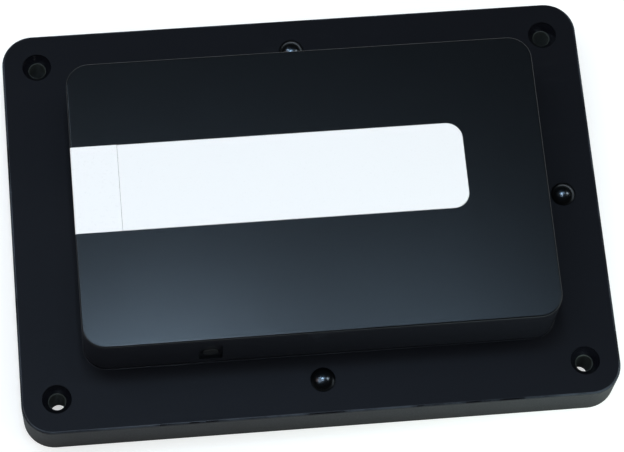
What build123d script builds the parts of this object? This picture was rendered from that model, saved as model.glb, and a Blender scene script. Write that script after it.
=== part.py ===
from build123d import *
import os

# A garage door controller, in millimetres: a black flanged housing for a wall or ceiling, with a raised
# shell, a white band whose left end is the window of a flashing light, and the circuit board inside.
# X runs along the long side, Y up the front face, Z out of it; the origin is the middle of the back.

# The shell is drawn round the main board, and the plate (the flange) round the shell, in one moulding.
# The shell, and all that it holds, is drawn about its own middle, which lies a little off the plate's.
board_length = 112.0
board_width = 68.5
board_gap = 1.8
wall = 2.2
flange_end = 16.0
flange_side = 16.25
plate_height = 12.0
plate_corner = 8.0
plate_edge_round = 0.6
shell_height = 17.0
shell_corner = 6.0
shell_edge_round = 0.45
shell_root_round = 0.25
shell_shift_x = 0.5
shell_shift_y = -0.3

# Corner mounting holes, in bosses with webs to the skirt
hole_inset = 9.0
hole_radius = 2.1
sink_radius = 3.75
sink_lip = 0.6
sink_depth = 1.9
boss_radius = 4.75
boss_web = 1.6

# Back plate, its pillars, ribs and hooks
back_thickness = 2.2
back_gap = 0.2
pillar_radius = 3.4
pillar_web = 1.4
pillar_web_reach = 3.2
back_rib = 1.4
back_rib_height = 3.0
back_rib_share = 0.39
back_rib_inset = 12.0
hook_width = 9.0
hook_thickness = 1.2
hook_reach = 0.8
hook_root = 3.0
hook_share = 0.54
hook_gap = 0.15

# Assembly screws: smooth domed heads at the middle of three edges
head_radius = 3.1
head_rim = 0.7
head_dome = 1.6
head_seat = 0.6
head_seat_gap = 0.12
shank_radius = 1.45
shank_gap = 0.2
thread_gap = 0.05
shank_end_gap = 1.0

# Ribs under the flange
flange_rib = 1.4
flange_rib_depth = 4.0
flange_rib_x_share = 0.52
flange_rib_y_share = 0.55

# Main board, its posts and screws
board_thickness = 1.6
board_lift = 1.0
board_corner = 2.5
post_radius = 3.2
post_inset = 7.0
post_web = 1.2
post_web_lift = 1.5
board_head_radius = 2.6
board_head_height = 1.7
board_head_bevel = 0.8
drive_span = 2.6
drive_width = 0.55
drive_depth = 0.9
board_shank_radius = 1.2
board_shank_length = 8.0
board_hole_gap = 0.35
pilot_end_gap = 1.0
pin_gap = 0.15
pin_tail = 1.2

# White band: window lens at the left end, trim plate on the rest
band_width = 23.5
band_middle_share = 0.099
band_end_gap = 20.2
band_corner = 4.3
band_edge_round = 0.2
lens_length = 11.8
lens_drop = 13.0
lens_gap = 0.1
seam_gap = 0.05
lens_lip = 1.5
lens_lip_thickness = 1.0
lens_flute = 0.35
lens_flute_pitch = 1.6
trim_thickness = 1.2
trim_gap = 0.1
peg_radius = 1.0
peg_gap = 0.1
peg_inset_x = 5.5
peg_inset_y = 5.0
peg_columns = 4
stake_radius = 1.7
stake_height = 0.5
stake_bevel = 0.25

# Flash lamps and their reflector
lamp_size = 5.0
lamp_height = 1.6
lamp_pitch = 7.0
lamp_count = 3
lamp_lens_radius = 1.9
lamp_lens_height = 0.5
reflector_wall = 0.9
reflector_base_gap = 0.5
reflector_top_gap = 0.2
reflector_side_gap = 0.3
reflector_low_wall = 3.0

# Link button and status light, in a small recess of the front wall
panel_share = -0.473
panel_width = 6.0
panel_margin = 0.9
panel_depth = 1.0
panel_corner = 1.2
panel_boss = 1.2
panel_boss_rim = 1.5
button_rise = 4.2
button_radius = 2.1
button_proud = 0.3
button_round = 0.35
button_gap = 0.15
button_travel = 0.5
collar_radius = 2.8
collar_thickness = 1.0
collar_gap = 0.1
switch_width = 6.0
switch_depth = 3.6
switch_top_rim = 3.0
plunger_radius = 1.75
plunger_stand = 1.2
plunger_inside = 0.8
plunger_gap = 0.1
plunger_end_gap = 0.3
frame_thickness = 0.3
frame_gap = 0.05
frame_lug = 1.2
light_rise = 5.1
pipe_radius = 1.5
pipe_gap = 0.1
pipe_proud = 0.2
pipe_bend = 3.0
pipe_clear = 0.8
pipe_foot_radius = 2.4
pipe_foot_height = 2.0
status_length = 1.6
status_width = 0.9
status_height = 0.7

# Power jack in the back wall
jack_share = 0.18
jack_width = 9.0
jack_height = 11.0
jack_depth = 14.4
jack_round = 1.2
jack_set_back = 0.1
jack_opening_gap = 0.2
jack_axis_rise = 6.5
jack_bore_radius = 3.15
jack_bore_depth = 9.5
jack_pin_radius = 1.0
jack_pin_set_back = 0.6
jack_root_radius = 0.8
jack_fit_gap = 0.05
jack_lug_width = 2.4
jack_lug_thickness = 0.8
jack_spring_width = 2.0
jack_spring_thickness = 0.4
jack_spring_gap = 0.15
jack_spring_rise = 0.5
jack_spring_inset = 2.5

# Two-wire terminal block in the back wall
terminal_share = -0.32
terminal_pitch = 5.08
terminal_side = 0.9
terminal_depth = 12.4
terminal_height = 12.0
terminal_set_back = 0.1
terminal_opening_gap = 0.2
terminal_face = 5.0
terminal_floor = 1.2
terminal_roof = 1.6
terminal_divider = 0.9
wire_rise = 3.6
wire_radius = 1.2
wire_funnel = 0.5
release_roof_gap = 0.4
release_size = 3.0
release_gap = 0.15
release_travel = 1.2
release_pressed_proud = 0.2
release_round = 0.4
release_collar_width = 3.6
release_collar_height = 4.2
release_collar = 1.0
release_stop_gap = 0.1
leaf_thickness = 0.4
leaf_width = 2.6
leaf_bend = 0.9
leaf_arm = 4.0
leaf_rear_drop = 3.0
leaf_bar_gap = 0.3
leaf_top_gap = 0.2
bar_width = 3.0
bar_thickness = 0.8
bar_front_gap = 0.4
bar_rear_gap = 1.5
bar_pin_radius = 0.5

# Relay
relay_shares = (-0.32, 0.29)
relay_length = 20.0
relay_width = 10.0
relay_height = 11.0
relay_wall = 0.8
relay_round = 0.8
relay_gap = 0.1
relay_base_height = 1.6
relay_pin_radius = 0.4
relay_pin_inset = 2.2

# Siren: case, piezo disc and base ring
siren_end_gap = 5.5
siren_back_gap = 4.75
siren_radius = 14.5
siren_height = 11.0
siren_wall = 1.3
siren_port_radius = 3.0
siren_disc_edge_gap = 0.8
siren_disc_thickness = 0.5
siren_disc_gap = 0.2
siren_ledge = 1.2
siren_chamber = 2.4
siren_base_height = 1.8
siren_ring = 1.0
siren_gap = 0.1
siren_pin_radius = 0.4
siren_pin_spread = 7.5
slot_width = 1.6
slot_height = 8.0
slot_pitch = 3.6
slot_count = 5
slot_rise = 3.5

# Radio board on two pin headers, with a shield and a wire antenna
radio_end_gap = 11.0
radio_front_gap = 4.25
radio_length = 24.0
radio_width = 18.0
radio_thickness = 1.0
header_height = 2.5
header_width = 2.5
header_pins = 6
header_inset = 1.6
header_pin_radius = 0.32
header_pin_gap = 0.13
header_pin_top = 0.8
shield_left_gap = 5.1
shield_right_gap = 1.9
shield_side_gap = 0.9
shield_height = 2.4
shield_wall = 0.3
shield_round = 0.5
antenna_radius = 0.5
antenna_inset = 1.4
antenna_rise = 5.6
antenna_end_gap = 16.4
antenna_tail = 12.0
antenna_bend = 2.2

# Small parts soldered flat on the board
processor_shares = (0.07, -0.41)
processor_size = 10.0
processor_height = 1.3
processor_legs = 8
driver_shares = (-0.125, -0.06)
driver_pitch = 9.0
driver_length = 5.0
driver_width = 3.9
driver_height = 1.5
driver_legs = 4
driver_count = 2
leg_width = 0.4
leg_pitch = 1.0
leg_thickness = 0.2
leg_reach = 0.9
chip_round = 0.15
crystal_shares = (0.07, -0.745)
crystal_length = 11.0
crystal_width = 4.4
crystal_height = 3.4
crystal_rim = 0.35
crystal_rim_height = 0.5
regulator_shares = (0.03, 0.2)
regulator_size = 6.5
regulator_depth = 6.0
regulator_height = 2.3
regulator_tab = 1.6
regulator_tab_thickness = 0.5
inductor_shares = (-0.06, 0.73)
inductor_size = 10.0
inductor_corner = 2.0
inductor_base = 0.8
inductor_core_height = 3.2
inductor_core_radius = 4.2
can_radius = 4.0
can_height = 11.0
can_round = 0.6
can_groove = 0.3
can_groove_width = 0.7
can_groove_lift = 1.4
can_pin_radius = 0.35
can_pin_spread = 1.75
can_shares = ((-0.68, 0.79), (-0.68, 0.49), (-0.22, -0.7))
small_length = 2.0
small_width = 1.25
small_height = 0.6
small_pitch = 3.2
small_rows = 2
small_columns = 6
small_shares = (-0.71, -0.47)

# Overrun of the cuts, and a hair used only to pick edges
overrun = 1.0
hair = 0.01

# Sizes, heights and places that follow
cavity_length = board_length + 2 * board_gap
cavity_width = board_width + 2 * board_gap
shell_length = cavity_length + 2 * wall
shell_width = cavity_width + 2 * wall
plate_length = shell_length + 2 * flange_end
plate_width = shell_width + 2 * flange_side
top_z = plate_height + shell_height
roof_z = top_z - wall
deck_z = plate_height - wall
cavity_corner = shell_corner - wall
skirt_length = plate_length - 2 * wall
skirt_width = plate_width - 2 * wall
skirt_corner = plate_corner - wall
front_y = -shell_width / 2
back_y = shell_width / 2
left_x = -shell_length / 2
band_middle_y = band_middle_share * back_y
hole_x = plate_length / 2 - hole_inset
hole_y = plate_width / 2 - hole_inset
hole_spots = [(side * hole_x, end * hole_y) for side in (-1, 1) for end in (-1, 1)]
screw_spots = [(0, -hole_y), (0, hole_y), (hole_x, 0)]
board_top = plate_height + board_lift
board_bottom = board_top - board_thickness
pin_end = board_bottom - pin_tail
post_x = cavity_length / 2 - post_inset
post_y = cavity_width / 2 - post_inset
post_spots = [(side * post_x, end * post_y) for side in (-1, 1) for end in (-1, 1)]
seam_x = left_x + lens_length
band_end_x = shell_length / 2 - band_end_gap
lens_bottom = top_z - lens_drop
panel_x = panel_share * shell_length / 2
button_z = board_top + button_rise
light_z = button_z + light_rise
panel_face = front_y + panel_depth
panel_inner = front_y + wall + panel_boss
collar_front = panel_inner + collar_gap
collar_back = collar_front + collar_thickness
switch_front = collar_back + plunger_stand
switch_back = switch_front + switch_depth
switch_top = button_z + switch_top_rim
pipe_y = switch_back + frame_thickness + frame_gap + pipe_clear + pipe_foot_radius
jack_x = jack_share * board_length / 2
jack_front = back_y - jack_set_back
jack_rear = jack_front - jack_depth
jack_z = board_top + jack_axis_rise
terminal_x = terminal_share * board_length / 2
terminal_front = back_y - terminal_set_back
terminal_rear = terminal_front - terminal_depth
terminal_width = 2 * (terminal_pitch + terminal_side)
chamber_front = terminal_front - terminal_face
chamber_floor = board_top + terminal_floor
chamber_roof = board_top + terminal_height - terminal_roof
chamber_width = terminal_pitch - terminal_divider
wire_z = board_top + wire_rise
release_z = chamber_roof - release_roof_gap - release_collar_height / 2
release_proud = release_travel + release_pressed_proud
pole_xs = [terminal_x - terminal_pitch / 2, terminal_x + terminal_pitch / 2]
siren_x = board_length / 2 - siren_end_gap - siren_radius
siren_y = board_width / 2 - siren_back_gap - siren_radius
siren_port_floor = board_top + siren_height - siren_wall
siren_disc_radius = siren_radius - siren_wall - siren_disc_edge_gap
disc_top = siren_port_floor - siren_chamber
disc_bottom = disc_top - siren_disc_thickness
radio_x = board_length / 2 - radio_end_gap - radio_length / 2
radio_y = radio_front_gap + radio_width / 2 - board_width / 2
radio_bottom = board_top + header_height
radio_top = radio_bottom + radio_thickness
header_pitch = terminal_pitch / 2
shield_length = radio_length - shield_left_gap - shield_right_gap
shield_width = radio_width - 2 * (header_inset + shield_side_gap)


def on_board(shares):
    return (shares[0] * board_length / 2, shares[1] * board_width / 2)


def around(middle, width):
    return (middle - width / 2, middle + width / 2)


def block(x_span, y_span, z_span):
    spans = (x_span, y_span, z_span)
    middles = [(low + high) / 2 for low, high in spans]
    return Pos(*middles) * Box(*[high - low for low, high in spans])


def slab(outline, low, high):
    return Pos(0, 0, low) * extrude(outline, high - low)


def post(spot, radius, low, high):
    return Pos(spot[0], spot[1], (low + high) / 2) * Cylinder(radius, high - low)


def bar_along_y(x, z, radius, near, far):
    return Pos(x, (near + far) / 2, z) * Rot(90, 0, 0) * Cylinder(radius, far - near)


def round_top(solid, radius):
    return fillet(solid.edges().group_by(Axis.Z)[-1], radius)


def bevel_bottom(solid, size):
    return chamfer(solid.edges().group_by(Axis.Z)[0], size)


def rod(points, bend, radius):
    path = FilletPolyline(*points, radius=bend)
    return sweep(Plane(path @ 0, z_dir=path % 0) * Circle(radius), path)


def at_shell(shapes):
    return [Pos(shell_shift_x, shell_shift_y, 0) * shape for shape in shapes]


# A bent metal strip: its line is drawn in the Y-Z plane and given its width along X
def strip(points, bend, thickness, x, width):
    line = FilletPolyline(*points, radius=bend)
    face = trace(line, line_width=thickness)
    return Pos(x - width / 2, 0, 0) * extrude(Plane.YZ * face, width)


# Front housing

def plate_outside():
    return round_top(slab(RectangleRounded(plate_length, plate_width, plate_corner), 0, plate_height),
                     plate_edge_round)


def shell_outside():
    return round_top(slab(RectangleRounded(shell_length, shell_width, shell_corner), deck_z, top_z),
                     shell_edge_round)


def shell_inside(low):
    return slab(RectangleRounded(cavity_length, cavity_width, cavity_corner), low, roof_z)


def round_root(body):
    level = body.edges().filter_by_position(Axis.Z, plate_height - hair, plate_height + hair)
    root = [edge for edge in level if abs(edge.center().X) < hole_x and abs(edge.center().Y) < hole_y]
    return fillet(root, shell_root_round)


def corner_bosses():
    solids = []
    for x, y in hole_spots:
        out_x = x / abs(x) * (skirt_length / 2 + wall / 2)
        out_y = y / abs(y) * (skirt_width / 2 + wall / 2)
        solids.append(post((x, y), boss_radius, 0, deck_z + wall / 2))
        solids.append(block(sorted((x, out_x)), around(y, boss_web), (0, deck_z + wall / 2)))
        solids.append(block(around(x, boss_web), sorted((y, out_y)), (0, deck_z + wall / 2)))
    return solids


def flange_ribs():
    z_span = (deck_z - flange_rib_depth, deck_z + wall / 2)
    solids = []
    for side in (-1, 1):
        for end in (-1, 1):
            x = end * flange_rib_x_share * cavity_length / 2
            y_span = sorted((side * cavity_width / 2, side * (skirt_width / 2 + wall / 2)))
            solids.append(block(around(x, flange_rib), y_span, z_span))
        for end in (-1, 1):
            y = end * flange_rib_y_share * cavity_width / 2
            x_span = sorted((side * cavity_length / 2, side * (skirt_length / 2 + wall / 2)))
            solids.append(block(x_span, around(y, flange_rib), z_span))
    return solids


def board_posts():
    solids = []
    for x, y in post_spots:
        out_x = x / abs(x) * (cavity_length / 2 + wall / 2)
        out_y = y / abs(y) * (cavity_width / 2 + wall / 2)
        web_span = (board_top + post_web_lift, roof_z + wall / 2)
        solids.append(post((x, y), post_radius, board_top, roof_z + wall / 2))
        solids.append(block(sorted((x, out_x)), around(y, post_web), web_span))
        solids.append(block(around(x, post_web), sorted((y, out_y)), web_span))
    return solids


def panel_pad():
    low = button_z - collar_radius
    return block(around(panel_x, panel_width + 2 * panel_boss_rim), (front_y + wall / 2, panel_inner),
                 (low, roof_z + wall / 2))


def corner_hole(x, y):
    cone_top = plate_height - sink_lip
    cone = Pos(x, y, cone_top - sink_depth / 2) * Cone(hole_radius, sink_radius, sink_depth)
    return [post((x, y), hole_radius, -overrun, plate_height + overrun),
            post((x, y), sink_radius, cone_top, plate_height + overrun), cone]


def band_outline(low_x, high_x, inset):
    half = band_width / 2 - inset
    outline = Pos((low_x + high_x) / 2, band_middle_y) * Rectangle(high_x - low_x, 2 * half)
    return fillet(outline.vertices().group_by(Axis.X)[-1], band_corner - inset)


def peg_spots():
    first = seam_x + peg_inset_x
    step = (band_end_x - peg_inset_x - first) / (peg_columns - 1)
    return [(first + column * step, band_middle_y + side * (band_width / 2 - peg_inset_y))
            for column in range(peg_columns) for side in (-1, 1)]


def band_cuts():
    window = block((left_x - overrun, seam_x), around(band_middle_y, band_width),
                   (lens_bottom, top_z + overrun))
    recess = slab(band_outline(seam_x - overrun, band_end_x, 0), top_z - trim_thickness, top_z + overrun)
    holes = [post(spot, peg_radius + peg_gap, roof_z - overrun, top_z) for spot in peg_spots()]
    return [window, recess] + holes


def panel_cuts():
    low = button_z - button_radius - panel_margin
    high = light_z + pipe_radius + panel_margin
    outline = RectangleRounded(panel_width, high - low, panel_corner)
    recess = Pos(panel_x, front_y - overrun, (low + high) / 2) * Rot(-90, 0, 0) * extrude(
        outline, panel_depth + overrun)
    return [recess,
            bar_along_y(panel_x, button_z, button_radius + button_gap, front_y, panel_inner + overrun),
            bar_along_y(panel_x, light_z, pipe_radius + pipe_gap, front_y, panel_inner + overrun)]


def back_wall_cuts():
    y_span = (cavity_width / 2 - overrun, back_y + overrun)
    jack = block(around(jack_x, jack_width + 2 * jack_opening_gap), y_span,
                 (board_top - jack_opening_gap, board_top + jack_height + jack_opening_gap))
    terminal = block(around(terminal_x, terminal_width + 2 * terminal_opening_gap), y_span,
                     (board_top - terminal_opening_gap, board_top + terminal_height + terminal_opening_gap))
    return [jack, terminal]


def sound_slots():
    low = board_top + slot_rise
    first = siren_y - (slot_count - 1) * slot_pitch / 2
    x_span = (cavity_length / 2 - overrun, shell_length / 2 + overrun)
    return [block(x_span, around(first + index * slot_pitch, slot_width), (low, low + slot_height))
            for index in range(slot_count)]


def hook_spans():
    return [around(side * hook_share * skirt_width / 2, hook_width) for side in (-1, 1)]


def hook_slots():
    z_span = (back_thickness - hook_gap, back_thickness + hook_thickness + hook_gap)
    inner = -skirt_length / 2
    return [block((inner - hook_reach - hook_gap, inner + overrun), (low - hook_gap, high + hook_gap),
                  z_span)
            for low, high in hook_spans()]


def make_front_housing():
    body = round_root(plate_outside() + at_shell([shell_outside()]))
    body -= slab(RectangleRounded(skirt_length, skirt_width, skirt_corner), -overrun, deck_z)
    body -= at_shell([shell_inside(deck_z - overrun)])
    body = body + corner_bosses() + at_shell(flange_ribs() + board_posts() + [panel_pad()])
    cuts = hook_slots()
    for x, y in hole_spots:
        cuts += corner_hole(x, y)
    for spot in screw_spots:
        cuts.append(post(spot, head_radius + head_seat_gap, plate_height - head_seat,
                         plate_height + overrun))
        cuts.append(post(spot, shank_radius + shank_gap, deck_z - overrun, plate_height))
    pilot_top = board_bottom + board_shank_length + pilot_end_gap
    pilots = [post(spot, board_shank_radius + thread_gap, board_top - overrun, pilot_top)
              for spot in post_spots]
    return body - cuts - at_shell(band_cuts() + panel_cuts() + back_wall_cuts() + sound_slots() + pilots)


# Back plate

def back_ribs():
    z_span = (back_thickness / 2, back_thickness + back_rib_height)
    long_half = skirt_length / 2 - back_rib_inset
    short_half = skirt_width / 2 - back_rib_inset
    ribs = []
    for side in (-1, 1):
        ribs.append(block((-long_half, long_half), around(side * short_half, back_rib), z_span))
        ribs.append(block(around(side * long_half, back_rib), (-short_half, short_half), z_span))
        middle_x = side * back_rib_share * long_half
        ribs.append(block(around(middle_x, back_rib), (-short_half, short_half), z_span))
    return ribs


def make_back_plate():
    corner = skirt_corner - back_gap
    body = slab(RectangleRounded(skirt_length - 2 * back_gap, skirt_width - 2 * back_gap, corner),
                0, back_thickness)
    notch_x = hole_x - boss_radius - back_gap
    notch_y = hole_y - boss_radius - back_gap
    for side in (-1, 1):
        for end in (-1, 1):
            body -= block(sorted((side * notch_x, side * plate_length / 2)),
                          sorted((end * notch_y, end * plate_width / 2)),
                          (-overrun, back_thickness + overrun))
    body = body + back_ribs()
    for spot in screw_spots:
        reach = pillar_radius + pillar_web_reach
        web_span = (back_thickness / 2, deck_z - pillar_web_reach)
        body += post(spot, pillar_radius, 0, deck_z)
        along_x, along_y = (pillar_web, 2 * reach) if spot[0] else (2 * reach, pillar_web)
        body += block(around(spot[0], along_x), around(spot[1], along_y), web_span)
    root = -skirt_length / 2 + back_gap
    for low, high in hook_spans():
        body += block((root - back_gap - hook_reach, root + hook_root), (low, high),
                      (back_thickness, back_thickness + hook_thickness))
    for spot in screw_spots:
        body -= post(spot, shank_radius + thread_gap, back_thickness, deck_z + overrun)
    return body


# Screws

def domed_screw(spot):
    seat = plate_height - head_seat
    apex = seat + head_rim + head_dome
    ball_radius = (head_radius ** 2 + head_dome ** 2) / (2 * head_dome)
    ball = Pos(spot[0], spot[1], apex - ball_radius) * Sphere(ball_radius)
    head = post(spot, head_radius, seat, apex) & ball
    return head + post(spot, shank_radius, back_thickness + shank_end_gap, seat)


def make_assembly_screws():
    return [domed_screw(spot) for spot in screw_spots]


def board_screw(spot):
    head = bevel_bottom(post(spot, board_head_radius, board_bottom - board_head_height, board_bottom),
                        board_head_bevel)
    body = head + post(spot, board_shank_radius, board_bottom, board_bottom + board_shank_length)
    low = board_bottom - board_head_height
    drive_z = (low - overrun, low + drive_depth)
    body -= block(around(spot[0], drive_span), around(spot[1], drive_width), drive_z)
    return body - block(around(spot[0], drive_width), around(spot[1], drive_span), drive_z)


def make_board_screws():
    return [board_screw(spot) for spot in post_spots]


# White band

def make_light_lens():
    window = block((left_x - overrun, seam_x - seam_gap / 2),
                   around(band_middle_y, band_width - 2 * lens_gap), (lens_bottom + lens_gap, top_z + overrun))
    body = (shell_outside() & window) - shell_inside(deck_z)
    inner_x = -cavity_length / 2
    lip_y = around(band_middle_y, band_width + 2 * lens_lip)
    body += block((inner_x, seam_x + lens_lip), lip_y, (roof_z - lens_lip_thickness, roof_z))
    body += block((inner_x, inner_x + lens_lip_thickness), lip_y, (lens_bottom - lens_lip, roof_z))
    flutes = int((band_width - 2 * lens_gap) / lens_flute_pitch)
    first = band_middle_y - (flutes - 1) * lens_flute_pitch / 2
    low = roof_z - lens_lip_thickness
    for index in range(flutes):
        y = first + index * lens_flute_pitch
        body -= block((inner_x + lens_lip_thickness, seam_x), around(y, lens_flute),
                      (low - overrun, low + lens_flute))
    return body


def make_trim_plate():
    low = top_z - trim_thickness
    body = slab(band_outline(seam_x + seam_gap / 2, band_end_x - trim_gap, trim_gap), low, top_z)
    body = round_top(body, band_edge_round)
    for spot in peg_spots():
        body += post(spot, peg_radius, roof_z - stake_height, low + trim_thickness / 2)
        body += bevel_bottom(post(spot, stake_radius, roof_z - stake_height, roof_z), stake_bevel)
    return body


# Flash lamps and reflector

def lamp_x():
    return (left_x + wall + lens_lip_thickness + seam_x) / 2


def make_flash_lamps():
    lamps = []
    for index in range(lamp_count):
        y = band_middle_y + (index - (lamp_count - 1) / 2) * lamp_pitch
        body = block(around(lamp_x(), lamp_size), around(y, lamp_size), (board_top, board_top + lamp_height))
        cap = post((lamp_x(), y), lamp_lens_radius, board_top + lamp_height,
                   board_top + lamp_height + lamp_lens_height)
        lamps.append(body + round_top(cap, lamp_lens_height / 2))
    return lamps


def funnel(x_low, x_high, y_low, y_high, inset):
    low = Pos((x_low[0] + x_low[1]) / 2, (y_low[0] + y_low[1]) / 2, board_top) * Rectangle(
        x_low[1] - x_low[0] - 2 * inset, y_low[1] - y_low[0] - 2 * inset)
    high = Pos((x_high[0] + x_high[1]) / 2, (y_high[0] + y_high[1]) / 2, reflector_top()) * Rectangle(
        x_high[1] - x_high[0] - 2 * inset, y_high[1] - y_high[0] - 2 * inset)
    return loft([low, high], ruled=True)


def reflector_top():
    return roof_z - lens_lip_thickness - reflector_top_gap


def make_lamp_reflector():
    base_half = lamp_size / 2 + reflector_base_gap + reflector_wall
    x_low = (lamp_x() - base_half, lamp_x() + base_half)
    y_half = (lamp_count - 1) * lamp_pitch / 2 + base_half
    y_low = (band_middle_y - y_half, band_middle_y + y_half)
    x_high = (left_x + wall + lens_lip_thickness + reflector_side_gap, seam_x)
    y_high = around(band_middle_y, band_width)
    body = funnel(x_low, x_high, y_low, y_high, 0) - funnel(x_low, x_high, y_low, y_high, reflector_wall)
    open_side = block((x_high[0] - overrun, x_low[0] + reflector_wall + hair),
                      (y_low[0] + reflector_wall, y_low[1] - reflector_wall),
                      (board_top + reflector_low_wall, reflector_top() + overrun))
    return body - open_side


# Link button, switch and status light

def make_link_button():
    front = panel_face - button_proud
    cap = bar_along_y(panel_x, button_z, button_radius, front, collar_front)
    cap = fillet(cap.edges().group_by(Axis.Y)[0], button_round)
    return cap + bar_along_y(panel_x, button_z, collar_radius, collar_front, collar_back)


def make_switch_plunger():
    body = bar_along_y(panel_x, button_z, plunger_radius, collar_back, switch_front + plunger_inside)
    return chamfer(body.edges().group_by(Axis.Y)[0], plunger_gap)


def make_switch_body():
    body = block(around(panel_x, switch_width), (switch_front, switch_back), (board_top, switch_top))
    body = fillet(body.edges().filter_by(Axis.Y), frame_thickness)
    deep = plunger_inside + button_travel + plunger_end_gap
    return body - bar_along_y(panel_x, button_z, plunger_radius + plunger_gap, switch_front - overrun,
                              switch_front + deep)


def make_switch_frame():
    half = switch_width / 2 + frame_gap
    out = half + frame_thickness
    y_span = (switch_front + frame_thickness, switch_back + frame_gap + frame_thickness)
    z_span = (board_top, switch_top + frame_gap + frame_thickness)
    body = block((panel_x - out, panel_x + out), y_span, z_span)
    body -= block((panel_x - half, panel_x + half), (switch_front - overrun, switch_back + frame_gap),
                  (board_top - overrun, switch_top + frame_gap))
    middle = (y_span[0] + y_span[1]) / 2
    for side in (-1, 1):
        x_span = sorted((panel_x + side * half, panel_x + side * out))
        body += block(x_span, around(middle, frame_lug), (pin_end, board_top + overrun))
    return body


def frame_lug_cuts():
    half = switch_width / 2 + frame_gap + frame_thickness / 2
    y_low = switch_front + frame_thickness
    middle = (y_low + switch_back + frame_gap + frame_thickness) / 2
    return [block(around(panel_x + side * half, frame_thickness + 2 * pin_gap),
                  around(middle, frame_lug + 2 * pin_gap), (board_bottom - overrun, board_top + overrun))
            for side in (-1, 1)]


def make_status_light_pipe():
    foot_top = board_top + pipe_foot_height
    body = rod([(panel_x, panel_face - pipe_proud, light_z), (panel_x, pipe_y, light_z),
                (panel_x, pipe_y, foot_top)], pipe_bend, pipe_radius)
    body += post((panel_x, pipe_y), pipe_foot_radius, board_top, foot_top + pipe_gap)
    return body - post((panel_x, pipe_y), pipe_radius, board_top - overrun, foot_top - pipe_radius / 2)


def make_status_lamp():
    return block(around(panel_x, status_length), around(pipe_y, status_width),
                 (board_top, board_top + status_height))


# Power jack

def jack_lug_y():
    return jack_rear - jack_lug_thickness / 2


def spring_y():
    return jack_rear + (jack_depth - jack_bore_depth) + jack_bore_depth / 2


def make_power_jack_body():
    body = block(around(jack_x, jack_width), (jack_rear, jack_front), (board_top, board_top + jack_height))
    tall = body.edges().filter_by(Axis.Y).group_by(Axis.Z)[-1]
    body = fillet(tall, jack_round)
    body -= bar_along_y(jack_x, jack_z, jack_bore_radius, jack_front - jack_bore_depth, jack_front + overrun)
    body -= bar_along_y(jack_x, jack_z, jack_root_radius + jack_fit_gap, jack_rear - overrun, jack_front)
    slot_low = spring_y() - jack_bore_depth / 2 + jack_spring_gap
    slot_high = jack_front - jack_spring_inset
    return body - block(around(jack_x, jack_spring_width + 2 * jack_spring_gap), (slot_low, slot_high),
                        (board_top - overrun, jack_z - jack_bore_radius + jack_spring_gap))


def make_power_jack_pin():
    bore_end = jack_front - jack_bore_depth
    tip = bar_along_y(jack_x, jack_z, jack_pin_radius, bore_end, jack_front - jack_pin_set_back)
    tip = fillet(tip.edges().group_by(Axis.Y)[-1], jack_pin_radius / 2)
    body = tip + bar_along_y(jack_x, jack_z, jack_root_radius, jack_rear - jack_lug_thickness / 2, bore_end)
    lug = block(around(jack_x, jack_lug_width), around(jack_lug_y(), jack_lug_thickness),
                (pin_end, jack_z + jack_lug_width / 2))
    return body + fillet(lug.edges().filter_by(Axis.Y).group_by(Axis.Z)[-1], jack_lug_width / 3)


def make_power_jack_spring():
    low = spring_y() - jack_bore_depth / 2 + 2 * jack_spring_gap
    high = jack_front - jack_spring_inset - jack_spring_gap
    flat = jack_z - jack_bore_radius - jack_spring_thickness
    crest = flat + jack_spring_rise + jack_spring_thickness
    mid = (low + high) / 2
    lug_y = low + jack_spring_thickness / 2
    body = strip([(lug_y, pin_end), (lug_y, flat), (mid, crest), (high, flat)],
                 jack_spring_thickness, jack_spring_thickness, jack_x, jack_spring_width)
    return body


def jack_lug_cuts():
    lug_y = spring_y() - jack_bore_depth / 2 + 2 * jack_spring_gap + jack_spring_thickness / 2
    z_span = (board_bottom - overrun, board_top + overrun)
    return [block(around(jack_x, jack_lug_width + 2 * pin_gap),
                  around(jack_lug_y(), jack_lug_thickness + 2 * pin_gap), z_span),
            block(around(jack_x, jack_spring_width + 2 * pin_gap),
                  around(lug_y, jack_spring_thickness + 2 * pin_gap), z_span)]


# Terminal block

def bar_pin_y():
    return (terminal_rear + bar_rear_gap + chamber_front - bar_front_gap) / 2


def make_terminal_block():
    body = block(around(terminal_x, terminal_width), (terminal_rear, terminal_front),
                 (board_top, board_top + terminal_height))
    body = fillet(body.edges().group_by(Axis.Y)[-1], release_round)
    for x in pole_xs:
        body -= block(around(x, chamber_width), (terminal_rear - overrun, chamber_front),
                      (chamber_floor, chamber_roof))
        body -= bar_along_y(x, wire_z, wire_radius, chamber_front - overrun, terminal_front + overrun)
        funnel_cone = Cone(wire_radius + wire_funnel, wire_radius, wire_funnel)
        body -= Pos(x, terminal_front - wire_funnel / 2, wire_z) * Rot(90, 0, 0) * funnel_cone
        body -= block(around(x, release_size + 2 * release_gap), (chamber_front - overrun,
                      terminal_front + overrun), around(release_z, release_size + 2 * release_gap))
        body -= post((x, bar_pin_y()), bar_pin_radius + pin_gap, board_top - overrun,
                     chamber_floor + overrun)
    return body


def make_release_button(x):
    stop = chamber_front - release_stop_gap
    cap = block(around(x, release_size), (stop, terminal_front + release_proud),
                around(release_z, release_size))
    cap = fillet(cap.edges().group_by(Axis.Y)[-1], release_round)
    return cap + block(around(x, release_collar_width), (stop - release_collar, stop),
                       around(release_z, release_collar_height))


def make_clamp_leaf(x):
    front = chamber_front - release_stop_gap - release_collar - leaf_thickness / 2
    top = chamber_roof - leaf_top_gap - leaf_thickness / 2
    bar_top = chamber_floor + bar_thickness
    return strip([(front, bar_top + leaf_bar_gap), (front, top), (front - leaf_arm, top),
                  (front - leaf_arm, top - leaf_rear_drop)], leaf_bend, leaf_thickness, x, leaf_width)


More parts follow.
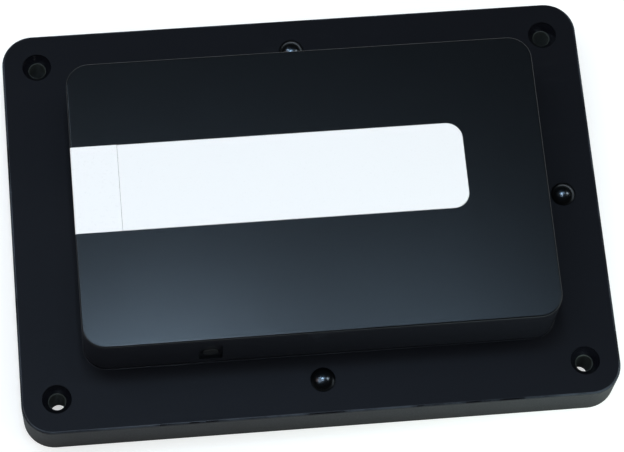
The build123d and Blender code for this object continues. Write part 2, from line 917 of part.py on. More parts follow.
def make_contact_bars():
    bars = []
    for x in pole_xs:
        plate = block(around(x, bar_width), (terminal_rear + bar_rear_gap, chamber_front - bar_front_gap),
                      (chamber_floor, chamber_floor + bar_thickness))
        pin = post((x, bar_pin_y()), bar_pin_radius, pin_end, chamber_floor + bar_thickness / 2)
        bars.append(plate + pin)
    return bars


# Relay and siren

def relay_pins():
    relay_x, relay_y = on_board(relay_shares)
    half_x = relay_length / 2 - relay_pin_inset
    half_y = relay_width / 2 - relay_pin_inset
    return [(relay_x - half_x, relay_y - half_y), (relay_x - half_x, relay_y + half_y),
            (relay_x, relay_y - half_y), (relay_x + half_x, relay_y - half_y),
            (relay_x + half_x, relay_y + half_y)]


def make_relay_case():
    relay_x, relay_y = on_board(relay_shares)
    body = block(around(relay_x, relay_length), around(relay_y, relay_width),
                 (board_top, board_top + relay_height))
    body = round_top(fillet(body.edges().filter_by(Axis.Z), relay_round), relay_round / 2)
    return body - block(around(relay_x, relay_length - 2 * relay_wall),
                        around(relay_y, relay_width - 2 * relay_wall),
                        (board_top - overrun, board_top + relay_height - relay_wall))


def make_relay_base():
    relay_x, relay_y = on_board(relay_shares)
    inset = 2 * (relay_wall + relay_gap)
    body = block(around(relay_x, relay_length - inset), around(relay_y, relay_width - inset),
                 (board_top, board_top + relay_base_height))
    return body + [post(spot, relay_pin_radius, pin_end, board_top + relay_base_height / 2)
                   for spot in relay_pins()]


def make_siren_case():
    middle = (siren_x, siren_y)
    body = post(middle, siren_radius, board_top, board_top + siren_height)
    body = chamfer(body.edges().group_by(Axis.Z)[-1], siren_wall / 2)
    body -= post(middle, siren_radius - siren_wall, board_top - overrun, disc_top)
    body -= post(middle, siren_disc_radius - siren_ledge, disc_top - overrun, siren_port_floor)
    return body - post(middle, siren_port_radius, siren_port_floor - overrun,
                       board_top + siren_height + overrun)


def make_siren_disc():
    return post((siren_x, siren_y), siren_disc_radius, disc_bottom, disc_top)


def siren_pins():
    return [(siren_x + side * siren_pin_spread, siren_y) for side in (-1, 1)]


def make_siren_base():
    middle = (siren_x, siren_y)
    outer = siren_radius - siren_wall - siren_gap
    body = post(middle, outer, board_top, disc_bottom)
    body -= post(middle, outer - siren_ring - siren_disc_gap, board_top + siren_base_height,
                 disc_bottom + overrun)
    return body + [post(spot, siren_pin_radius, pin_end, board_top + siren_base_height / 2)
                   for spot in siren_pins()]


# Radio

def header_rows():
    return [radio_y + side * (radio_width / 2 - header_inset) for side in (-1, 1)]


def header_spots(y):
    first = radio_x - (header_pins - 1) * header_pitch / 2
    return [(first + index * header_pitch, y) for index in range(header_pins)]


def make_radio_headers():
    rows = []
    for y in header_rows():
        body = block(around(radio_x, header_pins * header_pitch), around(y, header_width),
                     (board_top, radio_bottom))
        rows.append(body + [post(spot, header_pin_radius, pin_end, radio_top + header_pin_top)
                            for spot in header_spots(y)])
    return rows


def make_radio_board():
    body = block(around(radio_x, radio_length), around(radio_y, radio_width), (radio_bottom, radio_top))
    holes = [post(spot, header_pin_radius + header_pin_gap, radio_bottom - overrun, radio_top + overrun)
             for y in header_rows() for spot in header_spots(y)]
    return body - holes


def make_radio_shield():
    x = radio_x + (shield_left_gap - shield_right_gap) / 2
    body = block(around(x, shield_length), around(radio_y, shield_width),
                 (radio_top, radio_top + shield_height))
    body = round_top(fillet(body.edges().filter_by(Axis.Z), shield_round), shield_round / 2)
    return body - block(around(x, shield_length - 2 * shield_wall),
                        around(radio_y, shield_width - 2 * shield_wall),
                        (radio_top - overrun, radio_top + shield_height - shield_wall))


def make_antenna_wire():
    x = radio_x - radio_length / 2 + antenna_inset
    y = radio_y + radio_width / 2 - antenna_inset
    high = radio_top + antenna_rise
    end_x = antenna_end_gap - board_length / 2
    return rod([(x, y, radio_top), (x, y, high), (end_x, y, high), (end_x, y + antenna_tail, high)],
               antenna_bend, antenna_radius)


# Board and its small parts

def chip(spot, length, width, height, legs, four_sides):
    body = block(around(spot[0], length), around(spot[1], width), (board_top, board_top + height))
    body = round_top(body, chip_round)
    z_span = (board_top, board_top + leg_thickness)
    reach = (legs - 1) * leg_pitch / 2
    for index in range(legs):
        along = index * leg_pitch - reach
        body += block(around(spot[0] + along, leg_width), around(spot[1], width + 2 * leg_reach), z_span)
        if four_sides:
            body += block(around(spot[0], length + 2 * leg_reach), around(spot[1] + along, leg_width),
                          z_span)
    return body


def make_processor_chip():
    return chip(on_board(processor_shares), processor_size, processor_size, processor_height,
                processor_legs, True)


def make_driver_chips():
    x, y = on_board(driver_shares)
    return [chip((x - index * driver_pitch, y), driver_length, driver_width, driver_height,
                 driver_legs, False) for index in range(driver_count)]


def make_crystal():
    can = SlotOverall(crystal_length, crystal_width)
    rim = SlotOverall(crystal_length + 2 * crystal_rim, crystal_width + 2 * crystal_rim)
    here = Pos(*on_board(crystal_shares), 0)
    body = round_top(slab(can, board_top, board_top + crystal_height), crystal_rim)
    return here * (body + slab(rim, board_top, board_top + crystal_rim_height))


def make_voltage_regulator():
    regulator_x, regulator_y = on_board(regulator_shares)
    low = regulator_y - regulator_depth / 2
    high = regulator_y + regulator_depth / 2
    body = block(around(regulator_x, regulator_size), (low, high),
                 (board_top, board_top + regulator_height))
    body = round_top(body, chip_round)
    body += block(around(regulator_x, regulator_size - regulator_tab), (high - regulator_tab,
                  high + regulator_tab), (board_top, board_top + regulator_tab_thickness))
    for side in (-1, 1):
        body += block(around(regulator_x + side * regulator_size / 3, 2 * leg_width),
                      (low - 2 * leg_reach, low + leg_reach),
                      (board_top, board_top + regulator_tab_thickness))
    return body


def make_power_inductor():
    spot = on_board(inductor_shares)
    outline = Pos(*spot) * RectangleRounded(inductor_size, inductor_size, inductor_corner)
    body = slab(outline, board_top, board_top + inductor_base)
    core = post(spot, inductor_core_radius, board_top + inductor_base / 2,
                board_top + inductor_base + inductor_core_height)
    return body + round_top(core, chip_round)


def can_pins(spot):
    return [(spot[0] + side * can_pin_spread, spot[1]) for side in (-1, 1)]


def can_spots():
    return [on_board(shares) for shares in can_shares]


def make_capacitors():
    cans = []
    groove_span = (board_top + can_groove_lift, board_top + can_groove_lift + can_groove_width)
    for spot in can_spots():
        body = round_top(post(spot, can_radius, board_top, board_top + can_height), can_round)
        neck = post(spot, can_radius - can_groove, *groove_span)
        body -= post(spot, can_radius + overrun, *groove_span) - neck
        cans.append(body + [post(pin, can_pin_radius, pin_end, board_top + can_groove_lift)
                            for pin in can_pins(spot)])
    return cans


def make_chip_parts():
    small_x, small_y = on_board(small_shares)
    parts = []
    for row in range(small_rows):
        for column in range(small_columns):
            x = small_x + column * small_pitch
            y = small_y + row * small_pitch
            parts.append(block(around(x, small_width), around(y, small_length),
                               (board_top, board_top + small_height)))
    return parts


def make_main_board():
    body = slab(RectangleRounded(board_length, board_width, board_corner), board_bottom, board_top)
    low = board_bottom - overrun
    high = board_top + overrun
    cuts = [post(spot, board_shank_radius + board_hole_gap, low, high) for spot in post_spots]
    cuts += [post(spot, relay_pin_radius + pin_gap, low, high) for spot in relay_pins()]
    cuts += [post(spot, siren_pin_radius + pin_gap, low, high) for spot in siren_pins()]
    cuts += [post((x, bar_pin_y()), bar_pin_radius + pin_gap, low, high) for x in pole_xs]
    cuts += [post(spot, header_pin_radius + header_pin_gap, low, high)
             for y in header_rows() for spot in header_spots(y)]
    cuts += [post(pin, can_pin_radius + pin_gap, low, high)
             for spot in can_spots() for pin in can_pins(spot)]
    return body - (cuts + frame_lug_cuts() + jack_lug_cuts())


def solids_of(piece):
    shapes = piece if isinstance(piece, list) else [piece]
    return [solid for shape in shapes for solid in shape.solids()]


def write(name, solids):
    group = Compound(children=solids) if len(solids) > 1 else solids[0]
    export_step(group, f"parts/{name}.step")


os.makedirs("parts", exist_ok=True)
left_pole, right_pole = pole_xs
plate_pieces = {
    "front_housing": make_front_housing(),
    "back_plate": make_back_plate(),
    "assembly_screws": make_assembly_screws(),
}
shell_pieces = {
    "light_lens": make_light_lens(),
    "trim_plate": make_trim_plate(),
    "flash_lamps": make_flash_lamps(),
    "lamp_reflector": make_lamp_reflector(),
    "link_button": make_link_button(),
    "switch_plunger": make_switch_plunger(),
    "switch_body": make_switch_body(),
    "switch_frame": make_switch_frame(),
    "status_light_pipe": make_status_light_pipe(),
    "status_lamp": make_status_lamp(),
    "power_jack_body": make_power_jack_body(),
    "power_jack_pin": make_power_jack_pin(),
    "power_jack_spring": make_power_jack_spring(),
    "terminal_block": make_terminal_block(),
    "release_button_left": make_release_button(left_pole),
    "release_button_right": make_release_button(right_pole),
    "clamp_leaf_left": make_clamp_leaf(left_pole),
    "clamp_leaf_right": make_clamp_leaf(right_pole),
    "contact_bars": make_contact_bars(),
    "relay_case": make_relay_case(),
    "relay_base": make_relay_base(),
    "siren_case": make_siren_case(),
    "siren_disc": make_siren_disc(),
    "siren_base": make_siren_base(),
    "radio_board": make_radio_board(),
    "radio_headers": make_radio_headers(),
    "radio_shield": make_radio_shield(),
    "antenna_wire": make_antenna_wire(),
    "main_board": make_main_board(),
    "board_screws": make_board_screws(),
    "processor_chip": make_processor_chip(),
    "driver_chips": make_driver_chips(),
    "crystal": make_crystal(),
    "voltage_regulator": make_voltage_regulator(),
    "power_inductor": make_power_inductor(),
    "capacitors": make_capacitors(),
    "chip_parts": make_chip_parts(),
}
for name, piece in plate_pieces.items():
    write(name, solids_of(piece))
for name, piece in shell_pieces.items():
    write(name, at_shell(solids_of(piece)))
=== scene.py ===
import math

import bmesh
import bpy
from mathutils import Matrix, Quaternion, Vector


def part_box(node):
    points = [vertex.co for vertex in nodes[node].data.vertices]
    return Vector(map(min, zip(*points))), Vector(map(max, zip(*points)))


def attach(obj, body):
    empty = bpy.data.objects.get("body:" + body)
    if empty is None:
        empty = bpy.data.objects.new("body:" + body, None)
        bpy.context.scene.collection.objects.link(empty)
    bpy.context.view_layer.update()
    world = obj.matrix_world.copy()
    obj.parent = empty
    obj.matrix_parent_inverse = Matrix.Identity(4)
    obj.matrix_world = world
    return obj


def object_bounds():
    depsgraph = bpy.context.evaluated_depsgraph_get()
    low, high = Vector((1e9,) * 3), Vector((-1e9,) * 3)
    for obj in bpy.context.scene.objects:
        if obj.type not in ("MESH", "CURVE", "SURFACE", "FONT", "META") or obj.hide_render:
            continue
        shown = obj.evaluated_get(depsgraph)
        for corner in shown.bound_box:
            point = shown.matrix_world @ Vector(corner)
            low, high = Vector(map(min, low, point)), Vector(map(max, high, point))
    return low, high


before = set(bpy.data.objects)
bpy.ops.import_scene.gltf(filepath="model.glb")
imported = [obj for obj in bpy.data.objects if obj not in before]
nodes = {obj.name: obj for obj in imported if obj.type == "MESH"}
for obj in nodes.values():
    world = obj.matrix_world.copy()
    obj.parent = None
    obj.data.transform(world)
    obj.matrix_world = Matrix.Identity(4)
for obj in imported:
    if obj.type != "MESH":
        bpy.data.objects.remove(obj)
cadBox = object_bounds()
scene = bpy.context.scene
print("frame loaded with", len(nodes), "nodes")


# Material helpers. Patterns lie in object space, in metres. A helper reads a node's first output unless the
# call names another one. A colour is a tuple or a Mix node, whose third output holds its colour.

noiseRange = (0.3, 0.7)  # most of a noise pattern lies between these
bumpShare = 0.3  # a bump's height as a share of its width
pinBlend = 0.00003  # where plastic gives way to a bare pin
pinRoughness = (0.24, 0.38)


def newMaterial(name):
    material = bpy.data.materials.new(name)
    material.use_nodes = True
    tree = material.node_tree
    return material, tree, tree.nodes["Principled BSDF"]


def addNode(tree, kind, values=None, **settings):
    node = tree.nodes.new(kind)
    for key, value in settings.items():
        setattr(node, key, value)
    for key, value in (values or {}).items():
        node.inputs[key].default_value = value
    return node


def link(tree, fromNode, output, toNode, entry):
    tree.links.new(fromNode.outputs[output], toNode.inputs[entry])


def rgba(colour):
    return (*colour, 1.0)


def splitAxes(tree, source, output):  # X, Y and Z as outputs of their own
    node = addNode(tree, "ShaderNodeSeparateXYZ")
    link(tree, source, output, node, "Vector")
    return node


def objectSpace(tree):
    place = addNode(tree, "ShaderNodeTexCoord")
    return place, splitAxes(tree, place, "Object")


def surfaceTilt(tree):  # the way a surface faces
    return splitAxes(tree, addNode(tree, "ShaderNodeNewGeometry"), "Normal")


def noiseAt(tree, place, grain, detail=3.0, roughness=0.55, stretch=None):  # grain is one bump, in metres
    node = addNode(tree, "ShaderNodeTexNoise",
                   {"Scale": 1.0 / grain, "Detail": detail, "Roughness": roughness})
    if stretch:
        mapping = addNode(tree, "ShaderNodeMapping", {"Scale": stretch})
        link(tree, place, "Object", mapping, "Vector")
        link(tree, mapping, "Vector", node, "Vector")
    else:
        link(tree, place, "Object", node, "Vector")
    return node


def spread(tree, source, output, low, high, outLow=0.0, outHigh=1.0):
    node = addNode(tree, "ShaderNodeMapRange",
                   {"From Min": low, "From Max": high, "To Min": outLow, "To Max": outHigh})
    link(tree, source, output, node, "Value")
    return node


def glossOver(tree, pattern, roughness):  # from the low roughness to the high one as the pattern rises
    return spread(tree, pattern, "Fac", *noiseRange, *roughness)


def combine(tree, operation, first, second, firstOutput=0, secondOutput=0):
    node = addNode(tree, "ShaderNodeMath", operation=operation)
    for index, entry, output in ((0, first, firstOutput), (1, second, secondOutput)):
        if isinstance(entry, (int, float)):
            node.inputs[index].default_value = entry
        else:
            link(tree, entry, output, node, index)
    return node


def mixColours(tree, first, second, factorNode, factorOutput=0):
    node = addNode(tree, "ShaderNodeMix", data_type="RGBA")
    for index, colour in ((6, first), (7, second)):
        if isinstance(colour, tuple):
            node.inputs[index].default_value = rgba(colour)
        else:
            tree.links.new(colour.outputs[2], node.inputs[index])
    tree.links.new(factorNode.outputs[factorOutput], node.inputs[0])
    return node


def mixValues(tree, first, second, factorNode):
    node = addNode(tree, "ShaderNodeMix", data_type="FLOAT")
    for index, value in ((2, first), (3, second)):
        if isinstance(value, (int, float)):
            node.inputs[index].default_value = value
        else:
            tree.links.new(value.outputs[0], node.inputs[index])
    tree.links.new(factorNode.outputs[0], node.inputs[0])
    return node


def addBump(tree, height, output, strength, distance, below=None):
    node = addNode(tree, "ShaderNodeBump", {"Strength": strength, "Distance": distance})
    link(tree, height, output, node, "Height")
    if below:
        link(tree, below, "Normal", node, "Normal")
    return node


def discAt(tree, source, output, spot, radius, soft):  # 1 inside the radius round the spot, 0 outside
    reach = addNode(tree, "ShaderNodeVectorMath", operation="DISTANCE")
    link(tree, source, output, reach, 0)
    reach.inputs[1].default_value = spot
    return spread(tree, reach, "Value", radius, radius - soft)


def outsideBox(tree, split, low, high, soft=0.00004):  # 1 outside the box in X or Y, 0 inside
    sides = []
    for axis, index in (("X", 0), ("Y", 1)):
        middle = (low[index] + high[index]) / 2
        half = (high[index] - low[index]) / 2
        away = combine(tree, "ABSOLUTE", combine(tree, "SUBTRACT", split, middle, axis), 0.0)
        sides.append(spread(tree, away, 0, half, half + soft))
    return combine(tree, "MAXIMUM", *sides)


def finishSurface(tree, shader, colour, gloss, bump, metal=None):
    tree.links.new(colour.outputs[2], shader.inputs["Base Color"])
    tree.links.new(gloss.outputs[0], shader.inputs["Roughness"])
    link(tree, bump, "Normal", shader, "Normal")
    if metal:
        tree.links.new(metal.outputs[0], shader.inputs["Metallic"])


def setConstants(shader, look):
    for key, value in look.get("constants", {}).items():
        shader.inputs[key].default_value = value


def dress(names, material):
    for name in names:
        for slot in nodes[name].material_slots:
            slot.material = material


def plasticLayers(tree, place, look):
    patch = noiseAt(tree, place, look["patch"], 2.0)
    grain = noiseAt(tree, place, look["grain"], 4.0, 0.6)
    tone = mixColours(tree, look["dark"], look["light"], patch, "Fac")
    bump = addBump(tree, grain, "Fac", look["bump"], look["grain"] * bumpShare)
    return tone, glossOver(tree, grain, look["roughness"]), bump


def mouldedPlastic(name, look):
    material, tree, shader = newMaterial(name)
    place = addNode(tree, "ShaderNodeTexCoord")
    finishSurface(tree, shader, *plasticLayers(tree, place, look))
    setConstants(shader, look)
    return material


def sheetMetal(name, look):  # rolled or drawn metal, with the tool's fine lines in it
    material, tree, shader = newMaterial(name)
    place = addNode(tree, "ShaderNodeTexCoord")
    lines = noiseAt(tree, place, look["grain"], 3.0, 0.6, look["stretch"])
    stain = noiseAt(tree, place, look["patch"], 3.0)
    tone = mixColours(tree, look["dark"], look["light"], stain, "Fac")
    bump = addBump(tree, lines, "Fac", look["bump"], look["grain"] * bumpShare)
    finishSurface(tree, shader, tone, glossOver(tree, lines, look["roughness"]), bump)
    shader.inputs["Metallic"].default_value = 1.0
    return material


def metalWhere(tree, shader, place, look, mask):  # plastic or epoxy, with bare metal where the mask is 1
    tone, gloss, bump = plasticLayers(tree, place, look)
    shine = noiseAt(tree, place, look["grain"] * 2.0, 3.0)
    metalTone = mixColours(tree, look["metalDark"], look["metalLight"], shine, "Fac")
    tone = mixColours(tree, tone, metalTone, mask)
    gloss = mixValues(tree, gloss, glossOver(tree, shine, pinRoughness), mask)
    finishSurface(tree, shader, tone, gloss, bump, mask)
    return bump


# Camera, at the photograph's angle

cameraView = {
    "place": (-0.05104, -0.24531, 0.65861),
    "aim": (0.00100, -0.00403, 0.01200),
    "rollDegrees": 7.431,
    "lens": 155.01,
    "sensorWidth": 36.0,
    "nearest": 0.02,
    "farthest": 50.0,
}


def addCamera():
    data = bpy.data.cameras.new("photoCamera")
    data.lens = cameraView["lens"]
    data.sensor_width = cameraView["sensorWidth"]
    data.sensor_fit = "HORIZONTAL"
    data.clip_start = cameraView["nearest"]
    data.clip_end = cameraView["farthest"]
    camera = bpy.data.objects.new("photoCamera", data)
    scene.collection.objects.link(camera)
    place = Vector(cameraView["place"])
    turn = (Vector(cameraView["aim"]) - place).to_track_quat("-Z", "Y")
    roll = Quaternion((0.0, 0.0, 1.0), math.radians(cameraView["rollDegrees"]))
    camera.location = place
    camera.rotation_mode = "QUATERNION"
    camera.rotation_quaternion = turn @ roll
    scene.camera = camera


addCamera()
print("camera placed")


# Lamps. Each one aims at the origin, unless it has an aim of its own.

coolWhite = (0.52, 0.75, 1.0)
paleBlue = (0.66, 0.82, 1.0)
lamps = [
    {"name": "overheadLeft", "place": (-0.06, 0.095, 0.60), "size": (0.14, 0.06), "watts": 0.32,
     "colour": coolWhite},
    {"name": "overheadRight", "place": (0.11, 0.095, 0.60), "size": (0.14, 0.06), "watts": 0.14,
     "colour": coolWhite},
    {"name": "frontStrip", "place": (-0.02, 0.0, 0.60), "size": (0.18, 0.04), "watts": 0.42,
     "colour": paleBlue},
    {"name": "frontLeft", "place": (-0.28, -0.06, 0.60), "size": (0.30, 0.30), "watts": 0.42,
     "colour": paleBlue},
    {"name": "backLeft", "place": (-0.27, 0.23, 0.60), "size": (0.12, 0.12), "watts": 0.34,
     "colour": paleBlue},
    {"name": "rightSide", "place": (0.60, 0.107, 0.785), "size": (0.20, 0.20), "watts": 0.55,
     "colour": (0.85, 0.95, 1.0)},
    {"name": "leftSide", "place": (-0.65, 0.04, 0.76), "size": (0.30, 0.30), "watts": 0.22,
     "colour": (1.0, 0.70, 0.62)},
    # Lights the paper that the front wall mirrors, and isn't mirrored itself
    {"name": "frontRightLow", "place": (0.085, -0.125, 0.05), "aim": (0.055, -0.065, 0.0),
     "size": (0.05, 0.02), "watts": 0.060, "colour": (0.80, 1.0, 0.93), "mirrored": False},
]


def addLamp(look):
    data = bpy.data.lights.new(look["name"], "AREA")
    data.shape = "RECTANGLE"
    data.size, data.size_y = look["size"]
    data.energy = look["watts"]
    data.color = look["colour"]
    lamp = bpy.data.objects.new(look["name"], data)
    lamp.visible_glossy = look.get("mirrored", True)
    lamp.location = look["place"]
    lamp.rotation_mode = "QUATERNION"
    aim = Vector(look.get("aim", (0.0, 0.0, 0.0)))
    lamp.rotation_quaternion = (aim - Vector(look["place"])).to_track_quat("-Z", "Y")
    scene.collection.objects.link(lamp)


# World: an even fill, a sky for mirrors that fades above the horizon, and plain white for the camera

white = (1.0, 1.0, 1.0)
worldLook = {
    "fill": 0.60,
    "fillColour": (1.01, 1.0, 0.98),
    "skyColour": (0.92, 0.98, 1.0),
    "skyHeights": (0.0, 0.25),  # bright at the first, gone at the second
    "brightSide": (0.6, 0.8, 0.0),  # the back right, where the horizon is brightest
    "sideRange": (0.1, 0.9),
    "dimShare": 0.06,  # how bright the sky is away from that side
}


def seenRays(tree, rays):  # 1 for what the camera sees, straight or through clear plastic
    return combine(tree, "MAXIMUM", rays, rays, "Is Camera Ray", "Is Transmission Ray")


def skyStrength(tree, place):
    look = worldLook
    sky = spread(tree, splitAxes(tree, place, "Generated"), "Z", *look["skyHeights"], 1.0, 0.0)
    sky.interpolation_type = "SMOOTHSTEP"
    side = addNode(tree, "ShaderNodeVectorMath", operation="DOT_PRODUCT")
    side.inputs[1].default_value = look["brightSide"]
    link(tree, place, "Generated", side, 0)
    sideShare = spread(tree, side, "Value", *look["sideRange"], look["dimShare"], 1.0)
    return combine(tree, "MULTIPLY", sky, sideShare)


def addWorld():
    look = worldLook
    world = bpy.data.worlds.new("studio")
    world.use_nodes = True
    scene.world = world
    tree = world.node_tree
    tree.nodes.clear()
    output = addNode(tree, "ShaderNodeOutputWorld")
    rays = addNode(tree, "ShaderNodeLightPath")
    place = addNode(tree, "ShaderNodeTexCoord")
    fill = addNode(tree, "ShaderNodeBackground",
                   {"Color": rgba(look["fillColour"]), "Strength": look["fill"]})
    shine = addNode(tree, "ShaderNodeBackground", {"Color": rgba(look["skyColour"])})
    link(tree, skyStrength(tree, place), 0, shine, "Strength")
    plain = addNode(tree, "ShaderNodeBackground", {"Color": rgba(white), "Strength": 1.0})
    glossy = addNode(tree, "ShaderNodeMixShader")
    link(tree, rays, "Is Glossy Ray", glossy, 0)
    link(tree, fill, "Background", glossy, 1)
    link(tree, shine, "Background", glossy, 2)
    final = addNode(tree, "ShaderNodeMixShader")
    link(tree, seenRays(tree, rays), 0, final, 0)
    link(tree, glossy, "Shader", final, 1)
    link(tree, plain, "Background", final, 2)
    link(tree, final, "Shader", output, "Surface")


# Floor of pale paper, which keeps the object's shadow

floorLook = {
    "half": 0.5,
    "drop": 0.0002,  # below the object's flat back
    "colour": (0.60, 0.61, 0.60),
    "shade": (0.588, 0.5978, 0.588),  # the paper's darker grain
    "lift": 0.56,  # the paper's own glow, for the camera and clear plastic only
    "grain": 0.004,
    "constants": {"Roughness": 0.8, "Specular IOR Level": 0.1},
}


def palePaper():
    look = floorLook
    material, tree, shader = newMaterial("palePaper")
    grain = noiseAt(tree, addNode(tree, "ShaderNodeTexCoord"), look["grain"])
    tone = mixColours(tree, look["colour"], look["shade"], grain, "Fac")
    tree.links.new(tone.outputs[2], shader.inputs["Base Color"])
    setConstants(shader, look)
    rays = addNode(tree, "ShaderNodeLightPath")
    glow = addNode(tree, "ShaderNodeEmission", {"Color": rgba(white)})
    link(tree, combine(tree, "MULTIPLY", seenRays(tree, rays), look["lift"]), 0, glow, "Strength")
    both = addNode(tree, "ShaderNodeAddShader")
    link(tree, shader, "BSDF", both, 0)
    link(tree, glow, "Emission", both, 1)
    link(tree, both, "Shader", tree.nodes["Material Output"], "Surface")
    return material


def addFloor():
    half = floorLook["half"]
    corners = [(-half, -half, 0), (half, -half, 0), (half, half, 0), (-half, half, 0)]
    mesh = bpy.data.meshes.new("paleFloor")
    mesh.from_pydata(corners, [], [(0, 1, 2, 3)])
    mesh.materials.append(palePaper())
    floor = bpy.data.objects.new("paleFloor", mesh)
    scene.collection.objects.link(floor)
    floor.location.z = cadBox[0][2] - floorLook["drop"]


for lamp in lamps:
    addLamp(lamp)
addWorld()
addFloor()
scene.view_settings.view_transform = "Standard"
print("lamps, world and floor set")


# Black front housing: a fine-textured shell on a plainer flange, whose flat top lies 12 mm up

housingLook = {
    "shellDark": (0.0026, 0.0034, 0.0044),
    "shellLight": (0.0034, 0.0043, 0.0056),
    "litWallTone": (0.0088, 0.0096, 0.0130),  # the raised shell's sides, painted lighter than its top to stand in for the light they catch from the front
    "flangeDark": (0.0028, 0.0030, 0.0046),
    "flangeLight": (0.0038, 0.0041, 0.0062),
    "patch": 0.02,
    "shellGrain": 0.00028,
    "flangeGrain": 0.0005,
    "shellRoughness": (0.21, 0.26),
    "flangeRoughness": (0.45, 0.53),
    "flangeSheen": (0.30, 0.30, 0.32),  # the flange's dry surface mirrors less than the shell
    "shellBump": 0.07,
    "flangeBump": 0.05,
    "bumpHeight": 0.0001,
    "shellHeights": (0.0122, 0.0130),  # the flange's finish below the first, the shell's above the second
    "wallTilt": (0.5, 0.3),  # a surface that faces up less than this is a wall
    "rubTone": (0.012, 0.014, 0.016),  # faint rubs
    "rubStrength": 0.25,
    "rubSize": 0.012,
    "rubStretch": (1.0, 5.0, 1.0),
    "rubRange": (0.60, 0.78),
    "paintedBoreLight": (0.056, 0.066, 0.060),  # painted light on the insides of the four screw bores, as if the white floor lit them through the holes
    "boreRadius": 0.0023,
    "boreSoft": 0.0001,
    "bores": [(side * 0.067, end * 0.0455, 0.0) for side in (-1, 1) for end in (-1, 1)],
    "edgeRoughness": 0.20,  # rounded upper edges, smoother than the flats
    "edgeFlatTilt": (0.999, 0.985),  # no edge where a surface faces straight up
    "edgeWallTilt": (0.2, 0.4),  # nor where it is a wall
    "rootBottom": (0.01203, 0.01200),  # nor in the shell's rounded root, between these two pairs of heights
    "rootTop": (0.0126, 0.0128),
    "edgeHighlightTone": (0.034, 0.040, 0.050),  # painted highlight in patches along the flange's rounded outer edge
    "highlightPatchSize": 0.01,
    "highlightPatchRange": (0.38, 0.58),
    "highlightHeights": (0.01165, 0.01180),  # no painted highlight below the first
}


def housingTone(tree, place, tilt, onShell):
    look = housingLook
    patch = noiseAt(tree, place, look["patch"], 2.0)
    shellTone = mixColours(tree, look["shellDark"], look["shellLight"], patch, "Fac")
    # painted light: the walls take a lighter tone than the shell's top
    shellTone = mixColours(tree, shellTone, look["litWallTone"], spread(tree, tilt, "Z", *look["wallTilt"]))
    flangeTone = mixColours(tree, look["flangeDark"], look["flangeLight"], patch, "Fac")
    return mixColours(tree, flangeTone, shellTone, onShell)


def addRubsAndBoreLight(tree, place, tone):
    look = housingLook
    rub = noiseAt(tree, place, look["rubSize"], 4.0, 0.6, look["rubStretch"])
    rub = combine(tree, "MULTIPLY", spread(tree, rub, "Fac", *look["rubRange"]), look["rubStrength"])
    tone = mixColours(tree, tone, look["rubTone"], rub)
    flat = addNode(tree, "ShaderNodeVectorMath", operation="MULTIPLY")
    flat.inputs[1].default_value = (1.0, 1.0, 0.0)
    link(tree, place, "Object", flat, 0)
    # the rubs are real wear; each bore gets painted light, much lighter than the flange
    for spot in look["bores"]:
        boreLightMask = discAt(tree, flat, "Vector", spot, look["boreRadius"], look["boreSoft"])
        tone = mixColours(tree, tone, look["paintedBoreLight"], boreLightMask)
    return tone


def roundedEdges(tree, split, tilt):
    look = housingLook
    edge = combine(tree, "MULTIPLY", spread(tree, tilt, "Z", *look["edgeFlatTilt"]),
                   spread(tree, tilt, "Z", *look["edgeWallTilt"]))
    offRoot = combine(tree, "MAXIMUM", spread(tree, split, "Z", *look["rootBottom"]),
                      spread(tree, split, "Z", *look["rootTop"]))
    return combine(tree, "MULTIPLY", edge, offRoot)


# painted highlight: patches of light tone on the flange's rounded outer edge
def paintedEdgeHighlight(tree, place, split, edge):
    look = housingLook
    patches = noiseAt(tree, place, look["highlightPatchSize"], 4.0, 0.6)
    highlight = combine(tree, "MULTIPLY", spread(tree, patches, "Fac", *look["highlightPatchRange"]), edge)
    for heights in (look["rootBottom"], look["highlightHeights"]):
        highlight = combine(tree, "MULTIPLY", highlight, spread(tree, split, "Z", *heights))
    return highlight


def blackMoulding():
    look = housingLook
    material, tree, shader = newMaterial("blackMoulding")
    place, split = objectSpace(tree)
    tilt = surfaceTilt(tree)
    onShell = spread(tree, split, "Z", *look["shellHeights"])
    edge = roundedEdges(tree, split, tilt)
    tone = addRubsAndBoreLight(tree, place, housingTone(tree, place, tilt, onShell))
    # painted highlight along the flange's outer edge
    tone = mixColours(tree, tone, look["edgeHighlightTone"], paintedEdgeHighlight(tree, place, split, edge))
    shellNoise = noiseAt(tree, place, look["shellGrain"], 4.0, 0.6)
    flangeNoise = noiseAt(tree, place, look["flangeGrain"], 3.0, 0.5)
    gloss = mixValues(tree, glossOver(tree, flangeNoise, look["flangeRoughness"]),
                      glossOver(tree, shellNoise, look["shellRoughness"]), onShell)
    gloss = mixValues(tree, gloss, look["edgeRoughness"], edge)
    sheen = mixColours(tree, look["flangeSheen"], white, combine(tree, "MAXIMUM", onShell, edge))
    tree.links.new(sheen.outputs[2], shader.inputs["Specular Tint"])
    flangeBump = addBump(tree, flangeNoise, "Fac", look["flangeBump"], look["bumpHeight"])
    shellBump = addBump(tree, shellNoise, "Fac", look["shellBump"], look["bumpHeight"], flangeBump)
    link(tree, combine(tree, "MULTIPLY", onShell, look["shellBump"]), 0, shellBump, "Strength")
    finishSurface(tree, shader, tone, gloss, shellBump)
    return material


dress(["front_housing"], blackMoulding())
print("front housing dressed")


# Back plate, with the round marks that the mould's ejector pins leave

backPlateLook = {
    "dark": (0.006, 0.007, 0.008), "light": (0.009, 0.010, 0.011), "patch": 0.03, "grain": 0.0004,
    "roughness": (0.42, 0.54), "bump": 0.15,
    "pinSpots": [(x, y, 0.0) for x in (-0.052, 0.0, 0.052) for y in (-0.028, 0.028)],
    "pinRadius": 0.003, "pinSoft": 0.00012, "pinGloss": 0.28, "pinBump": 0.4, "pinHeight": 0.00005,
}


